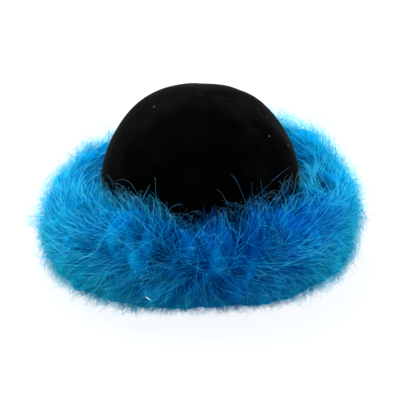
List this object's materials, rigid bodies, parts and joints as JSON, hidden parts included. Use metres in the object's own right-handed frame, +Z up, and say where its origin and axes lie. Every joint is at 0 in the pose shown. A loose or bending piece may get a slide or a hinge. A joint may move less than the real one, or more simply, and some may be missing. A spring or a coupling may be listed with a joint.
{
  "type": "fur toque",
  "caption": "Round toque with a plain black velvet dome of four panels and a thick bright blue marabou trim round the rim; open head hollow underneath.",
  "frame": {"origin": "on the table, in the plane that the down's flat underside stands on, at the middle of the hat's footprint, where the crown's axis meets it", "axes": "+Z up through the top of the crown; the front faces -Y; +X is at the right of the picture"},
  "size_m": [0.3067, 0.2895, 0.1665],
  "materials": {
    "velvet": "short dense pile velvet, deep black, with a soft sheen at grazing angles",
    "marabou": "fine turkey marabou down dyed bright blue, fluffy and matt, with single glossy barbs"
  },
  "bodies": {
    "root": {"crown_panel_front_left": "velvet", "crown_panel_front_right": "velvet", "crown_panel_back_left": "velvet", "crown_panel_back_right": "velvet", "marabou_trim": "marabou"}
  },
  "joints": []
}
